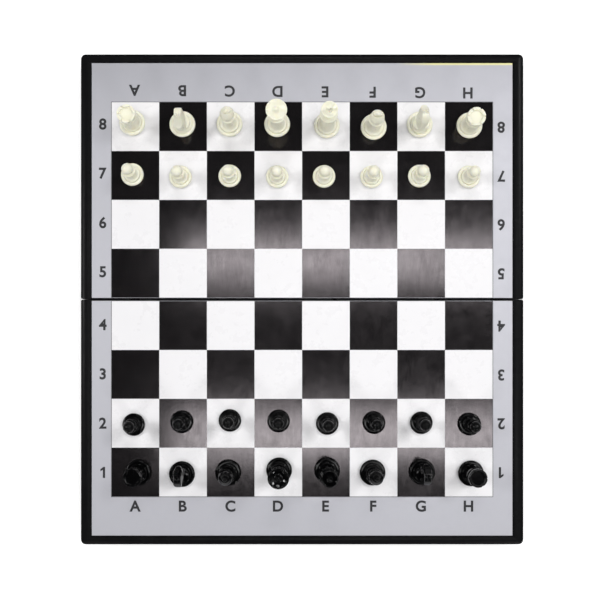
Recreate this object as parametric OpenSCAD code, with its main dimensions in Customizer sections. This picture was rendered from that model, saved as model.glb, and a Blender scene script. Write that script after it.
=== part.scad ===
// Folding magnetic chess set, opened flat.
//
// +X runs along the ranks from file A to file H, +Y runs from rank 1 to rank 8 and +Z is up.
// The origin is on the table, in the middle of the fold. Sizes are in millimetres.
// "near" is the half with ranks 1 to 4, on the -Y side, and "far" is the half with ranks 5 to 8.

/* [Case] */
// Width of the board, across the files
board_w = 288; // [270:1:320]
// Length of each half case, across four ranks
half_l = 159.25; // [154:0.25:180]
// Height of the half cases
case_h = 20; // [16:0.5:30]
// Thickness of the outer walls
wall_t = 2; // [1.6:0.1:3]
// Thickness of the moulded floor under the steel plate
top_t = 2; // [1.5:0.1:3]
// Width of the crowned rim along the sides
side_rim_w = 7; // [5:0.25:9]
// Width of the crowned rim along the outer end
end_rim_w = 5.65; // [4:0.05:8]
// Drop of the rim's crown from its ridge to its edges
crown_drop = 0.8; // [0.4:0.1:1.2]
// How far the face lies below the ridge of the rim
face_drop = 0.7; // [0.4:0.1:1.5]
// Width of the low lip between the face and the fold
fold_lip_w = 0.6; // [0.4:0.1:1.5]
// Gap between the two halves at the fold
fold_gap = 0.5; // [0.3:0.1:1]
// Corner radius at the outer corners
corner_r = 3.5; // [2:0.25:6]
// Corner radius at the ends of the fold
fold_corner_r = 1.2; // [0.6:0.1:2]
// Width of the thumb notch in the outer wall
notch_w = 26; // [16:1:40]
// Height of the thumb notch above the table
notch_h = 3.2; // [2:0.2:6]

/* [Ribs] */
// Thickness of the stiffening ribs
rib_t = 1.2; // [0.8:0.1:2]
// Depth of the stiffening ribs under the floor
rib_h = 2.2; // [1:0.1:4]
// Number of ribs that run from the fold to the outer wall
rib_count = 5; // [2:1:9]

/* [Face] */
// Thickness of the steel plate
plate_t = 0.4; // [0.2:0.05:0.8]
// Thickness of the printed film
film_t = 0.2; // [0.1:0.05:0.4]
// Thickness of the foil squares
foil_t = 0.1; // [0.05:0.05:0.2]
// Gap between neighbouring foil squares
foil_gap = 0.1; // [0.05:0.05:0.4]
// Gap round the plate and the film in their recess
sheet_gap = 0.1; // [0.05:0.05:0.3]
// Width of the silver border beside the squares, from the board's edge
side_border_w = 20; // [16:0.5:32]
// Width of the silver border beyond the last rank, from the board's end
end_border_w = 31.15; // [24:0.05:40]
// Margin between the squares and the film's edge at the fold
fold_margin = 0.2; // [0.1:0.1:2]

/* [Hinges] */
// Distance of each hinge from the side of the board
hinge_in = 39; // [26:1:60]
// Distance of a pin from its half's fold face and from its rim plane
pin_in = 3; // [2.6:0.1:5]
// Diameter of the hinge pins
pin_d = 1.6; // [1.2:0.1:2.4]
// Length of the hinge pins
pin_l = 15; // [10:0.5:20]
// Clearance round a pin in the case
pin_seat_gap = 0.02; // [0.01:0.01:0.05]
// Clearance round a pin in the link
pin_run_gap = 0.06; // [0.03:0.01:0.1]
// Radius of the link's round ends
link_r = 2.3; // [1.8:0.1:2.5]
// Thickness of the link
link_t = 3; // [2:0.1:5]
// Clearance between the link and its slot
link_gap = 0.4; // [0.3:0.05:0.6]
// Width of the moulded block that holds a pin
block_w = 20; // [14:0.5:26]
// Depth of the block, measured from the fold face
block_l = 8; // [7:0.5:14]
// Height of the block
block_h = 8; // [7:0.5:12]

/* [Closing magnets] */
// Diameter of a closing magnet
close_d = 8; // [5:0.5:12]
// Thickness of a closing magnet
close_t = 2.9; // [2:0.1:5]
// Gap round a closing magnet in its pocket
close_gap = 0.05; // [0.03:0.01:0.2]
// How far a closing magnet lies inside the rim plane
close_sunk = 0.1; // [0.05:0.05:0.5]
// Wall of the boss round the pocket
close_wall = 2; // [1.2:0.1:4]

/* [Chessmen] */
// Radius of the foot of the officers
officer_r = 8.4; // [7:0.05:10]
// Radius of the foot of the pawns
pawn_r = 7.35; // [6.5:0.05:9]
// Thickness of the felt pad
felt_t = 0.8; // [0.4:0.1:1.5]
// How far the felt lies inside the foot's edge
felt_in = 0.7; // [0.3:0.1:1.5]
// Diameter of the foot magnet
mag_d = 8; // [5:0.5:9]
// Thickness of the foot magnet
mag_t = 2; // [1:0.1:2.4]
// Gap round the magnet in its pocket
mag_gap = 0.05; // [0.03:0.01:0.2]
// Thickness of the glue under and over the magnet and the felt
glue_t = 0.03; // [0.02:0.01:0.1]
// Height of the foot's rounded edge
bead_h = 2.2; // [1.6:0.1:3]
// Height of the step above the rounded edge
step_h = 1.2; // [0.6:0.1:2]
// Height of the hollow curve from the step up to the stem
cove_h = 4.6; // [3:0.2:7]

/* [Heights of the chessmen] */
// Height of a pawn
pawn_h = 24; // [21:0.5:28]
// Height of a rook
rook_h = 25; // [22:0.5:29]
// Height of a knight
knight_h = 31; // [28:0.5:35]
// Height of a bishop
bishop_h = 35; // [32:0.5:39]
// Height of a queen
queen_h = 40; // [38:0.5:46]
// Height of a king, with its cross
king_h = 46; // [41:0.5:50]

/* [Heads of the chessmen] */
// Radius of a pawn's ball
pawn_head_r = 3.6; // [3:0.1:4]
// Radius of a rook's tower
rook_crown_r = 5.8; // [4.8:0.1:6.5]
// Width of the gaps in a rook's battlement
rook_slot_w = 0.9; // [0.8:0.1:2]
// Radius of a bishop's mitre
bishop_head_r = 4.1; // [3.5:0.1:4.8]
// Width of the cut in a bishop's mitre
mitre_cut_w = 0.9; // [0.6:0.1:1.2]
// Radius of a queen's crown
queen_crown_r = 6.6; // [5.5:0.1:7.5]
// Radius of the scallops in a queen's crown
queen_scallop_r = 0.9; // [0.6:0.05:1.3]
// Radius of a king's crown
king_crown_r = 5.2; // [4.4:0.1:6]
// Width across the arms of a king's cross
cross_w = 3.8; // [3:0.1:5]
// Height of a king's cross
cross_h = 3.6; // [3.6:0.1:6]
// Thickness of a king's cross
cross_t = 1.5; // [1:0.1:2]
// Thickness of a knight's neck at its foot
knight_neck_t = 7; // [5.5:0.1:8.5]
// Thickness of a knight's head at its ears
knight_ear_t = 5; // [4:0.1:6.4]
// Width of the gap between a knight's ears
knight_ear_gap = 1.2; // [0.6:0.1:2]

/* [Hidden] */
FILES = "abcdefgh";
BACK_ROW = ["rook", "knight", "bishop", "queen", "king", "bishop", "knight", "rook"];
BOARD_NODES = [
    "near_case", "far_case", "near_steel_plate", "far_steel_plate", "near_face_film", "far_face_film",
    "near_dark_squares", "far_dark_squares", "near_light_squares", "far_light_squares",
    "near_hinge_pins", "far_hinge_pins", "left_hinge_link", "right_hinge_link",
    "near_closing_magnets", "far_closing_magnets"
];
function man_name(side, kind, f, rank) = str(side, "_", kind, "_", FILES[f], rank);

$fn = 64;
over = 1; // how far a cutting shape runs past the face it cuts

// Where each man stands, as steps from the middle of its square along X and Y, file A first.
STAND_8 = [[-1.8, 2.1], [-0.2, 1.1], [-0.6, 1.4], [-0.7, 1.1], [0.6, 0.4], [-0.1, -0.7], [-1.2, 0.9], [0, 0.3]];
STAND_7 = [[-1.7, 0.2], [-1.5, -1.2], [-0.5, -0.7], [-0.7, -1.2], [-1.3, -1], [-1.5, -1.2], [-1.5, -0.8], [-0.3, -1.3]];
STAND_2 = [[-0.8, -0.7], [-0.7, 1], [-0.4, 2], [0.2, 1.5], [0.8, 0], [0.2, 0.5], [-0.2, 0.5], [0.2, -0.5]];
STAND_1 = [[2.1, -0.2], [-0.5, -1], [-1.6, -0.2], [0.5, 1.4], [0.7, 1.3], [-0.8, 0], [0.3, 0.3], [1, -0.5]];
// Which way each man's front is turned on its square, in degrees from +Y.
TURN_8 = [0, 180, 0, 0, 0, 0, 0, 0];
TURN_1 = [0, 0, 0, 0, 0, 0, 0, 0];

fold_y = fold_gap / 2; // the fold face of the far half
end_y = fold_y + half_l; // the outer end of the far half
face_z = case_h - face_drop; // top of the printed film
square_z = face_z + foil_t; // top of the foil squares, where the men stand
plate_z = face_z - film_t - plate_t; // bottom of the steel plate
ceiling_z = plate_z - top_t; // top of the hollow inside
sheet_w = board_w - 2 * side_rim_w - 2 * sheet_gap;
sheet_l = half_l - end_rim_w - fold_lip_w - 2 * sheet_gap;
sheet_y = fold_y + fold_lip_w + sheet_gap; // the film's edge at the fold, on the far half
field_y = sheet_y + fold_margin; // the edge of the squares at the fold, on the far half
file_pitch = (board_w - 2 * side_border_w) / 8; // eight files between the side borders
rank_pitch = (end_y - end_border_w - field_y) / 4; // four ranks on each half
hinge_x = board_w / 2 - hinge_in;
pin_y = fold_y + pin_in;
pin_r = pin_d / 2;
close_r = close_d / 2;
boss_r = close_r + close_gap + close_wall;
boss_in = wall_t + boss_r - 1; // a boss overlaps the two walls by 1 mm
mag_r = mag_d / 2;
body_z = felt_t + glue_t; // bottom of a man's moulded body
foot_z = body_z + bead_h + step_h; // top of the stepped foot

// ---------------------------------------------------------------- outlines

// Points on an arc round c, from angle a0 to a1.
function arc(c, r, a0, a1, n = 6) = [
    for (i = [0:n]) let (a = a0 + (a1 - a0) * i / n) c + r * [cos(a), sin(a)]
];

// A hollow curve that leaves p0 level and reaches p1 upright.
function cove(p0, p1, n = 6) = [
    for (i = [1:n]) let (a = 90 * i / n)
        [p0[0] + (p1[0] - p0[0]) * sin(a), p0[1] + (p1[1] - p0[1]) * (1 - cos(a))]
];

// A hollow curve that leaves p0 upright and reaches p1 level.
function flare(p0, p1, n = 6) = [
    for (i = [1:n]) let (a = 90 * i / n)
        [p0[0] + (p1[0] - p0[0]) * (1 - cos(a)), p0[1] + (p1[1] - p0[1]) * sin(a)]
];

// A cubic curve from p0 to p3, pulled by p1 and p2.
function curve(p0, p1, p2, p3, n = 8) = [
    for (i = [0:n]) let (t = i / n, s = 1 - t)
        s * s * s * p0 + 3 * s * s * t * p1 + 3 * s * t * t * p2 + t * t * t * p3
];

// Outline of a half case from above, for the far half.
module case_outline() {
    half_w = board_w / 2;
    translate([-half_w + corner_r, fold_y + fold_corner_r])
        square([board_w - 2 * corner_r, half_l - fold_corner_r]);
    translate([-half_w, fold_y + fold_corner_r])
        square([board_w, half_l - fold_corner_r - corner_r]);
    translate([-half_w + fold_corner_r, fold_y])
        square([board_w - 2 * fold_corner_r, 2 * fold_corner_r]);
    for (s = [-1, 1]) {
        translate([s * (half_w - corner_r), end_y - corner_r]) circle(corner_r);
        translate([s * (half_w - fold_corner_r), fold_y + fold_corner_r]) circle(fold_corner_r);
    }
}

// The circle of a rim's crown: a rim of width w has its outer edge at x = 0, and its ridge is case_h high.
module crown(w) {
    crown_r = (w * w / 4 + crown_drop * crown_drop) / (2 * crown_drop);
    translate([w / 2, case_h - crown_r]) circle(crown_r, $fn = 128);
}

// Section under the outer half of a crowned rim.
module rim_shoulder(w) {
    square([w / 2, case_h - crown_drop]);
    intersection() {
        square([w / 2, case_h]);
        crown(w);
    }
}

// Section of the whole half case across its width, its ridges at the height of the case.
module width_section() {
    for (s = [0, 1]) mirror([s, 0]) translate([-board_w / 2, 0]) rim_shoulder(side_rim_w);
    translate([-board_w / 2 + side_rim_w / 2, 0]) square([board_w - side_rim_w, case_h]);
}

// Section of the whole half case along its length, with the ridge at the outer end.
module length_section() {
    translate([end_y, 0]) mirror([1, 0]) rim_shoulder(end_rim_w);
    translate([fold_y - over, 0]) square([half_l + over - end_rim_w / 2, case_h]);
}

// The pan between the ridges, whose sides are the inner halves of the crowns.
module pan() {
    ridge_x = (board_w - side_rim_w) / 2;
    intersection() {
        translate([0, end_y + over, 0]) rotate([90, 0, 0]) linear_extrude(half_l + 3 * over) difference() {
            translate([-ridge_x, face_z]) square([2 * ridge_x, face_drop + over]);
            for (s = [0, 1]) mirror([s, 0]) translate([-board_w / 2, 0]) crown(side_rim_w);
        }
        translate([-board_w / 2, 0, 0]) rotate([90, 0, 90]) linear_extrude(board_w) difference() {
            translate([fold_y - over, face_z]) square([half_l + over - end_rim_w / 2, face_drop + over]);
            translate([end_y, 0]) mirror([1, 0]) crown(end_rim_w);
        }
    }
}

// ---------------------------------------------------------------- the half case

// Everything inside the outer skin, with the crowned rim along three sides.
module case_solid() {
    difference() {
        intersection() {
            linear_extrude(case_h) case_outline();
            translate([0, end_y + over, 0]) rotate([90, 0, 0])
                linear_extrude(half_l + 2 * over) width_section();
            translate([-board_w / 2 - over, 0, 0]) rotate([90, 0, 90])
                linear_extrude(board_w + 2 * over) length_section();
        }
        pan();
    }
}

// The hollow, with its corner bosses, its ribs and its hinge blocks left standing.
module case_hollow() {
    hollow_w = board_w - 2 * wall_t;
    hollow_l = half_l - 2 * wall_t;
    difference() {
        translate([-hollow_w / 2, fold_y + wall_t, -over]) cube([hollow_w, hollow_l, ceiling_z + over]);
        for (s = [-1, 1]) {
            translate([s * (board_w / 2 - boss_in), end_y - boss_in, -2 * over])
                cylinder(r = boss_r, h = ceiling_z + 3 * over);
            translate([s * hinge_x - block_w / 2, fold_y, -2 * over])
                cube([block_w, block_l, block_h + 2 * over]);
        }
        for (i = [1:rib_count])
            translate([(i / (rib_count + 1) - 0.5) * hollow_w - rib_t / 2, fold_y, ceiling_z - rib_h])
                cube([rib_t, half_l, rib_h + over]);
        translate([-board_w / 2, fold_y + half_l / 2 - rib_t / 2, ceiling_z - rib_h])
            cube([board_w, rib_t, rib_h + over]);
    }
}

// Cuts the lower edge of the fold face round about the pins' axis, so that the halves can roll past each
// other.
module fold_rounding() {
    translate([-board_w / 2 - over, 0, 0]) rotate([90, 0, 90]) linear_extrude(board_w + 2 * over)
        difference() {
            translate([fold_y - over, -over]) square([pin_in + over, pin_in + over]);
            translate([pin_y, pin_in]) circle(pin_in);
        }
}

// The slot that a link swings in, and the bore for its pin, blind at the outer end.
module hinge_cut() {
    slot_w = link_t + 2 * link_gap;
    reach = link_r + link_gap;
    blind = block_w / 2 - pin_l / 2; // the pin sits in the middle of its block
    translate([hinge_x - slot_w / 2, fold_y - over, -over])
        cube([slot_w, pin_in + reach + over, pin_in + reach + over]);
    translate([hinge_x - block_w / 2 - over, pin_y, pin_in]) rotate([0, 90, 0])
        cylinder(r = pin_r + pin_seat_gap, h = block_w - blind + over);
}

// One half case, drawn for the far half.
module half_case() {
    difference() {
        case_solid();
        case_hollow();
        translate([-sheet_w / 2 - sheet_gap, sheet_y - sheet_gap, plate_z])
            cube([sheet_w + 2 * sheet_gap, sheet_l + 2 * sheet_gap, case_h]);
        fold_rounding();
        for (s = [0, 1]) mirror([s, 0, 0]) {
            hinge_cut();
            translate([board_w / 2 - boss_in, end_y - boss_in, -over])
                cylinder(r = close_r + close_gap, h = close_sunk + close_t + over);
        }
        // the thumb notch, a shallow arch in the outer wall
        notch_r = (notch_w * notch_w / 4 + notch_h * notch_h) / (2 * notch_h);
        translate([0, end_y - wall_t - over, notch_h - notch_r]) rotate([-90, 0, 0])
            cylinder(r = notch_r, h = wall_t + 2 * over, $fn = 128);
    }
}

module far_case() {
    color([0.1, 0.1, 0.11]) half_case();
}

module near_case() {
    color([0.1, 0.1, 0.11]) rotate([0, 0, 180]) half_case();
}

// ---------------------------------------------------------------- the faces

module far_steel_plate() {
    color([0.6, 0.61, 0.63]) translate([-sheet_w / 2, sheet_y, plate_z]) cube([sheet_w, sheet_l, plate_t]);
}

module near_steel_plate() {
    rotate([0, 0, 180]) far_steel_plate();
}

module far_face_film() {
    color([0.8, 0.8, 0.84]) translate([-sheet_w / 2, sheet_y, plate_z + plate_t])
        cube([sheet_w, sheet_l, film_t]);
}

module near_face_film() {
    rotate([0, 0, 180]) far_face_film();
}

// Squares of one colour; half is 1 for the far half and -1 for the near one. With first at 0 the square of
// file A next to the fold is among them.
module squares(half, first) {
    first_y = field_y + rank_pitch / 2;
    for (f = [0:7], r = [0:3])
        if ((f + r + first) % 2 == 0)
            translate([(f - 3.5) * file_pitch, half * (first_y + r * rank_pitch), face_z + foil_t / 2])
                cube([file_pitch - foil_gap, rank_pitch - foil_gap, foil_t], center = true);
}

module near_dark_squares() {
    color([0.12, 0.11, 0.12]) squares(-1, 1);
}

module far_dark_squares() {
    color([0.12, 0.11, 0.12]) squares(1, 0);
}

module near_light_squares() {
    color([0.95, 0.95, 0.96]) squares(-1, 0);
}

module far_light_squares() {
    color([0.95, 0.95, 0.96]) squares(1, 1);
}

// ---------------------------------------------------------------- the hinges and the closing magnets

// The two pins of one half, drawn for the far half; each is seated on the blind end of its bore.
module hinge_pins() {
    color([0.75, 0.75, 0.77]) for (s = [0, 1]) mirror([s, 0, 0])
        translate([hinge_x - pin_l / 2, pin_y, pin_in]) rotate([0, 90, 0]) cylinder(r = pin_r, h = pin_l);
}

module far_hinge_pins() {
    hinge_pins();
}

module near_hinge_pins() {
    rotate([0, 0, 180]) hinge_pins();
}

// A link lies across the fold, with one eye on the near pin and one on the far pin.
module hinge_link(x) {
    color([0.7, 0.7, 0.72]) translate([x - link_t / 2, 0, pin_in]) rotate([90, 0, 90]) linear_extrude(link_t)
        difference() {
            union() {
                square([2 * pin_y, 2 * link_r], center = true);
                for (s = [-1, 1]) translate([s * pin_y, 0]) circle(link_r);
            }
            for (s = [-1, 1]) translate([s * pin_y, 0]) circle(pin_r + pin_run_gap);
        }
}

module left_hinge_link() {
    hinge_link(-hinge_x);
}

module right_hinge_link() {
    hinge_link(hinge_x);
}

module closing_magnets() {
    color([0.72, 0.72, 0.75]) for (s = [-1, 1])
        translate([s * (board_w / 2 - boss_in), end_y - boss_in, close_sunk])
            cylinder(r = close_r, h = close_t);
}

module far_closing_magnets() {
    closing_magnets();
}

module near_closing_magnets() {
    rotate([0, 0, 180]) closing_magnets();
}

// ---------------------------------------------------------------- the chessmen

// The edge of the foot: rounded below, with a step above.
function foot_edge(r) = concat(
    [[0, body_z], [r - bead_h / 2, body_z]],
    arc([r - bead_h / 2, body_z + bead_h / 2], bead_h / 2, -60, 90, 5),
    [[r - bead_h, body_z + bead_h], [r - bead_h, foot_z - step_h / 2]],
    arc([r - bead_h - step_h / 2, foot_z - step_h / 2], step_h / 2, 30, 90, 2)
);

// The whole foot, with the hollow curve up to a stem that tapers to stem_r at stem_z.
function foot(r, stem_r, stem_z) = concat(
    foot_edge(r),
    cove([r - bead_h - step_h / 2, foot_z], [stem_r + (stem_z - foot_z) * 0.045, foot_z + cove_h]),
    [[stem_r, stem_z]]
);

// A round collar that stands out from the stem, its lower edge at z.
function collar(stem_r, r, z, h) = concat(
    [[stem_r, z]],
    arc([r - h / 2, z + h / 2], h / 2, -90, 90, 6),
    [[stem_r, z + h]]
);

pawn_neck_r = 2.4;
pawn_collar_z = pawn_h - 2 * pawn_head_r - 2;
function pawn_outline() = concat(
    foot(pawn_r, pawn_neck_r, pawn_collar_z),
    collar(pawn_neck_r, 4.4, pawn_collar_z, 1.4),
    let (c = pawn_h - pawn_head_r, a = acos(pawn_neck_r / pawn_head_r))
        arc([0, c], pawn_head_r, -a, 90, 10)
);

rook_stem_r = 4.5;
rook_tower_h = 7;
rook_cup_r = rook_crown_r - 1.8;
rook_cup_h = 1.8;
function rook_outline() = concat(
    foot(officer_r, rook_stem_r, rook_h - rook_tower_h),
    collar(rook_stem_r, rook_crown_r, rook_h - rook_tower_h, 1.2),
    [[rook_crown_r - 0.5, rook_h - rook_tower_h + 1.8]],
    flare([rook_crown_r - 0.5, rook_h - rook_tower_h + 1.8], [rook_crown_r, rook_h - 3.6], 4),
    [[rook_crown_r, rook_h], [rook_cup_r, rook_h]],
    [[rook_cup_r, rook_h - rook_cup_h], [0, rook_h - rook_cup_h]]
);

bishop_neck_r = 2.8;
bishop_collar_z = bishop_h - 14;
bishop_ball_r = 1.2;
function bishop_outline() = concat(
    foot(officer_r, bishop_neck_r, bishop_collar_z),
    collar(bishop_neck_r, 5, bishop_collar_z, 1.3),
    collar(bishop_neck_r, 3.9, bishop_collar_z + 1.3, 0.9),
    let (z = bishop_collar_z + 2.6, top = bishop_h - 2 * bishop_ball_r + 0.2, r = bishop_head_r)
        curve([bishop_neck_r - 0.4, z], [r * 1.4, z + 2], [r * 1.2, z + 5.5], [0.8, top], 10),
    arc([0, bishop_h - bishop_ball_r], bishop_ball_r, -45, 90, 6)
);

queen_neck_r = 2.9;
queen_collar_z = queen_h - 15;
queen_rim_z = queen_h - 2;
queen_ball_r = 1.4;
function queen_outline() = concat(
    foot(officer_r, queen_neck_r, queen_collar_z),
    collar(queen_neck_r, 5.6, queen_collar_z, 1.4),
    collar(queen_neck_r, 4.4, queen_collar_z + 1.4, 1),
    [[queen_neck_r, queen_collar_z + 3.4]],
    flare([queen_neck_r, queen_collar_z + 3.4], [queen_crown_r - 0.4, queen_rim_z - 1], 8),
    [[queen_crown_r, queen_rim_z - 0.6], [queen_crown_r, queen_rim_z], [queen_crown_r - 0.8, queen_rim_z]],
    let (r = queen_crown_r, z = queen_rim_z) concat(
        cove([r - 0.8, z], [r - 1.6, z - 1.4], 3),
        curve([r - 1.6, z - 1.4], [3.4, z - 0.4], [2.4, z - 0.2], [1, z], 5)
    ),
    arc([0, queen_h - queen_ball_r], queen_ball_r, -40, 90, 6)
);

king_neck_r = 3;
king_crown_z = king_h - cross_h - 1.6; // the crown's upper edge
king_collar_z = king_crown_z - 12.5;
function king_outline() = concat(
    foot(officer_r, king_neck_r, king_collar_z),
    collar(king_neck_r, 5.6, king_collar_z, 1.4),
    collar(king_neck_r, 4.4, king_collar_z + 1.4, 1),
    [[king_neck_r, king_collar_z + 3.2]],
    flare([king_neck_r, king_collar_z + 3.2], [king_crown_r - 0.3, king_crown_z - 1.2], 8),
    arc([king_crown_r - 0.6, king_crown_z - 0.6], 0.6, 0, 90, 3),
    let (r = king_crown_r, z = king_crown_z)
        curve([r - 1, z], [r - 1.4, z + 1.1], [2, z + 1.4], [0, z + 1.8], 6)
);

knight_foot_top = 8; // where the horse's neck leaves the foot
function knight_outline() = concat(
    foot_edge(officer_r),
    cove([officer_r - bead_h - step_h / 2, foot_z], [5.2, knight_foot_top]),
    [[0, knight_foot_top]]
);

// The turned body of a man, hollowed for its magnet.
module turned(outline) {
    difference() {
        rotate_extrude() polygon(outline);
        translate([0, 0, body_z - over]) cylinder(r = mag_r + mag_gap, h = mag_t + glue_t + over);
    }
}

// The magnet, seated in its pocket, and the felt pad under it.
module foot_filling(r) {
    color([0.7, 0.7, 0.72]) translate([0, 0, body_z]) cylinder(r = mag_r, h = mag_t);
    color([0.1, 0.3, 0.2]) cylinder(r = r - felt_in, h = felt_t);
}

module pawn() {
    turned(pawn_outline());
}

// The battlement has six gaps.
module rook() {
    difference() {
        turned(rook_outline());
        for (i = [0:2]) rotate([0, 0, 60 * i])
            translate([-rook_crown_r - over, -rook_slot_w / 2, rook_h - rook_cup_h + 0.4])
                cube([2 * rook_crown_r + 2 * over, rook_slot_w, rook_cup_h + over]);
    }
}

// The mitre has one slanted cut.
module bishop() {
    difference() {
        turned(bishop_outline());
        translate([0, 0.6, bishop_h - 4.5]) rotate([-38, 0, 0])
            translate([-bishop_head_r - over, -bishop_head_r * 1.6, -mitre_cut_w / 2])
                cube([2 * bishop_head_r + 2 * over, bishop_head_r * 2, mitre_cut_w]);
    }
}

// The crown's edge is scalloped between nine points.
module queen() {
    difference() {
        turned(queen_outline());
        for (i = [0:8]) rotate([0, 0, 40 * i + 20])
            translate([queen_crown_r - 1.9, 0, queen_rim_z + 0.35]) rotate([0, 90, 0])
                cylinder(r = queen_scallop_r, h = 3);
    }
}

// The cross has four arms that widen outwards.
module king() {
    arm = cross_w / 2;
    mid = king_h - cross_h * 0.45;
    waist = cross_w * 0.14;
    turned(king_outline());
    translate([0, cross_t / 2, 0]) rotate([90, 0, 0]) linear_extrude(cross_t) polygon([
        [-arm * 0.75, king_crown_z + 0.6], [arm * 0.75, king_crown_z + 0.6], [waist, mid - waist],
        [arm, mid - arm * 0.55], [arm, mid + arm * 0.55], [waist, mid + waist],
        [arm * 0.55, king_h], [-arm * 0.55, king_h], [-waist, mid + waist],
        [-arm, mid + arm * 0.55], [-arm, mid - arm * 0.55], [-waist, mid - waist]
    ]);
}

// The horse's head is its side, front and plan views, each drawn right through and kept where all three meet.
// The side view faces +Y and stands on the foot.
module knight_side() {
    z = knight_h - 31; // the head rides up with the height
    foot_z0 = knight_foot_top - over;
    polygon(concat(
        [[-4.6, foot_z0], [4.7, foot_z0]],
        curve([4.9, 10], [5.2, 13 + z], [3.2, 15.5 + z], [2.2, 17.6 + z], 6), // chest and throat
        [[3.4, 18.2 + z], [5.2, 17.4 + z]], // jaw
        arc([6.5, 18.6 + z], 1.3, -70, 0, 3), // lower lip
        [[7.1, 19.4 + z]], // mouth
        arc([6.4, 20.4 + z], 1.3, -10, 80, 4), // nose
        curve([6.2, 22.2 + z], [5.2, 24.5 + z], [4.6, 26 + z], [3.6, 27.2 + z], 4), // bridge and forehead
        [[3.2, 28.6 + z], [2.4, 31 + z], [1, 28.7 + z], [0, 28.9 + z]], // ear
        curve([-1.2, 28.6 + z], [-5.2, 26 + z], [-7.2, 18 + z], [-5.4, 10], 10) // crest and mane
    ));
}

module knight_front() {
    neck = knight_neck_t / 2;
    ear = knight_ear_t / 2;
    h = knight_h;
    side = concat(
        [[neck, knight_foot_top - over]],
        curve([neck, 11], [neck + 0.1, h * 0.6], [ear + 0.3, h * 0.76], [ear, h * 0.87], 6),
        curve([ear, h * 0.87], [ear - 0.1, h * 0.95], [ear * 0.7, h], [ear * 0.4, h], 5)
    );
    polygon(concat(side, [for (i = [len(side) - 1:-1:0]) [-side[i][0], side[i][1]]]));
}

// From above the neck is narrow and round at the back, and the head narrows to the muzzle.
module knight_plan() {
    neck = knight_neck_t / 2;
    side = concat(
        curve([0.9, -6.3], [1.9, -6.3], [neck - 1.2, -4.2], [neck - 0.6, -1.6], 6),
        curve([neck, 1.2], [neck, 4.2], [2.2, 5.6], [1.4, 8.2], 6)
    );
    polygon(concat(side, [for (i = [len(side) - 1:-1:0]) [-side[i][0], side[i][1]]]));
}

// The gap between the ears is wedge-shaped, and the mouth is a thin cut.
module knight_cuts() {
    z = knight_h - 31;
    translate([0, 10, 0]) rotate([90, 0, 0]) linear_extrude(20)
        polygon([[0, 28.2 + z], [knight_ear_gap, 32 + z], [-knight_ear_gap, 32 + z]]);
    translate([-5, 5.4, 19.3 + z]) rotate([6, 0, 0]) cube([10, 5, 0.4]);
}

module knight() {
    turned(knight_outline());
    difference() {
        intersection() {
            translate([-10, 0, 0]) rotate([90, 0, 90]) linear_extrude(20) knight_side();
            translate([0, 10, 0]) rotate([90, 0, 0]) linear_extrude(20) knight_front();
            linear_extrude(knight_h) knight_plan();
        }
        knight_cuts();
    }
}

// A man of one kind, standing on file f (0 to 7) of a rank (1 to 8).
module man(side, kind, f, rank, stand, turn) {
    shade = side == "ivory" ? [0.95, 0.94, 0.86] : [0.08, 0.08, 0.09];
    y = rank > 4 ? field_y + (rank - 4.5) * rank_pitch : -field_y - (4.5 - rank) * rank_pitch;
    translate([(f - 3.5) * file_pitch + stand[0], y + stand[1], square_z]) rotate([0, 0, turn]) {
        color(shade) {
            if (kind == "pawn") pawn();
            if (kind == "rook") rook();
            if (kind == "knight") knight();
            if (kind == "bishop") bishop();
            if (kind == "queen") queen();
            if (kind == "king") king();
        }
        foot_filling(kind == "pawn" ? pawn_r : officer_r);
    }
}

module far_officer(f) {
    man("ivory", BACK_ROW[f], f, 8, STAND_8[f], TURN_8[f]);
}

module far_pawn(f) {
    man("ivory", "pawn", f, 7, STAND_7[f], 0);
}

module near_pawn(f) {
    man("black", "pawn", f, 2, STAND_2[f], 0);
}

module near_officer(f) {
    man("black", BACK_ROW[f], f, 1, STAND_1[f], TURN_1[f]);
}

// ---------------------------------------------------------------- the whole set

near_case();
far_case();
near_steel_plate();
far_steel_plate();
near_face_film();
far_face_film();
near_dark_squares();
far_dark_squares();
near_light_squares();
far_light_squares();
near_hinge_pins();
far_hinge_pins();
left_hinge_link();
right_hinge_link();
near_closing_magnets();
far_closing_magnets();
for (f = [0:7]) {
    far_officer(f);
    far_pawn(f);
    near_pawn(f);
    near_officer(f);
}
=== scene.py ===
# %% [markdown]
# A folding magnetic chess set, opened flat.
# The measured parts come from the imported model: two black half cases, their steel plates, films, foil
# squares, hinges and magnets. They are loaded first and are never moved.
# This lesson dresses them. It gives every surface its finish, models the 32 chessmen with their felt
# pads, prints the letters and numbers on the silver film, and sets up the table, the lamps and the camera.

# %% Load the measured parts
import bpy
import math
from mathutils import Matrix, Vector


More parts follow.
